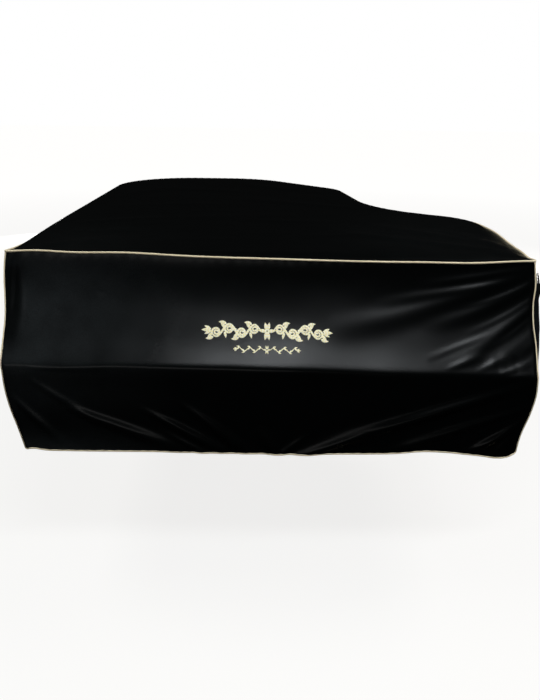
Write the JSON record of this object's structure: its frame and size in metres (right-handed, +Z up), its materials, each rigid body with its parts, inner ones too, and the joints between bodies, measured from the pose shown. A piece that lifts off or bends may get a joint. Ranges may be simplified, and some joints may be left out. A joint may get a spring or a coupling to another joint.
{
  "type": "grand piano cover",
  "caption": "Fitted velvet cover for a grand piano: a top panel, a front apron that reaches out over the keyslip, side walls, and piping on the lid's edge, front corners and hem.",
  "frame": {"origin": "under the top panel, at the middle of the lid that it lies on", "axes": "+Z up, -Y towards the player, +X towards the curved side; +Y runs along the piano to its tail"},
  "size_m": [1.6023, 2.0853, 0.5953],
  "materials": {
    "black_velvet": "short pile velvet, black with a grey sheen",
    "champagne_satin": "champagne satin over a cord"
  },
  "bodies": {
    "root": {"top_panel": "black_velvet", "front_apron": "black_velvet", "bentside_wall": "black_velvet", "tail_wall": "black_velvet", "spine_wall": "black_velvet", "top_piping": "champagne_satin", "corner_piping_left": "champagne_satin", "corner_piping_right": "champagne_satin", "hem_piping": "champagne_satin"}
  },
  "joints": []
}
